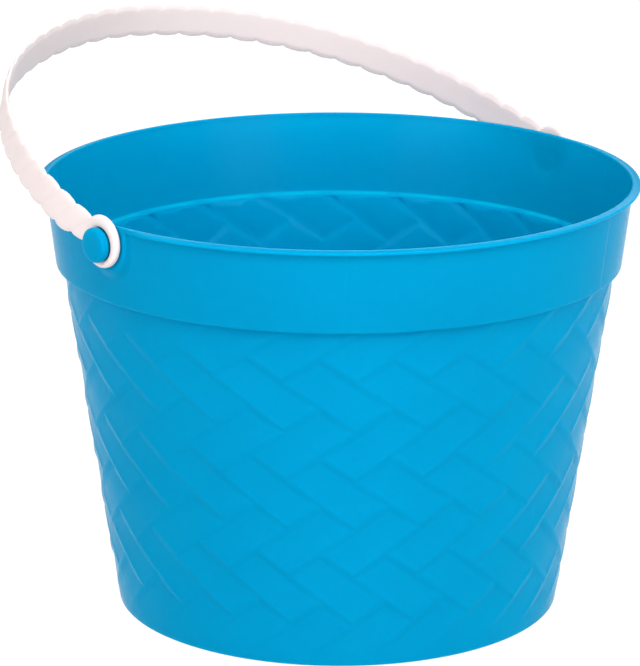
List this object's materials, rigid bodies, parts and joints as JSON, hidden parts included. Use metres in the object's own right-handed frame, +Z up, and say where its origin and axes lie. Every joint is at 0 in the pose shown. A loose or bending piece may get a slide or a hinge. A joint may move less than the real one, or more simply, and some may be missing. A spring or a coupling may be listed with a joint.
{
  "type": "sand bucket",
  "caption": "Tapered round plastic bucket with a woven-look wall, a plain band and lip, and a strap handle that swings on side studs.",
  "frame": {"origin": "centre of the flat base, on the surface the bucket stands on", "axes": "+Z up, X along the axis of the two hinge studs, +Y towards the side that the handle is laid over"},
  "size_m": [0.2468, 0.2669, 0.2206],
  "materials": {
    "blue_plastic": "satin moulded plastic, slightly glossy",
    "white_plastic": "satin moulded plastic, slightly milky"
  },
  "bodies": {
    "bucket": {"bucket_shell": "blue_plastic", "hinge_stud_left": "blue_plastic", "hinge_stud_right": "blue_plastic"},
    "handle": {"handle": "white_plastic"}
  },
  "joints": [
    {"name": "handle_swing", "type": "hinge", "parent": "bucket", "child": "handle", "pos_m": [0, 0, 0.165], "axis": [1, 0, 0], "range_deg": [-64, 207.6]}
  ]
}
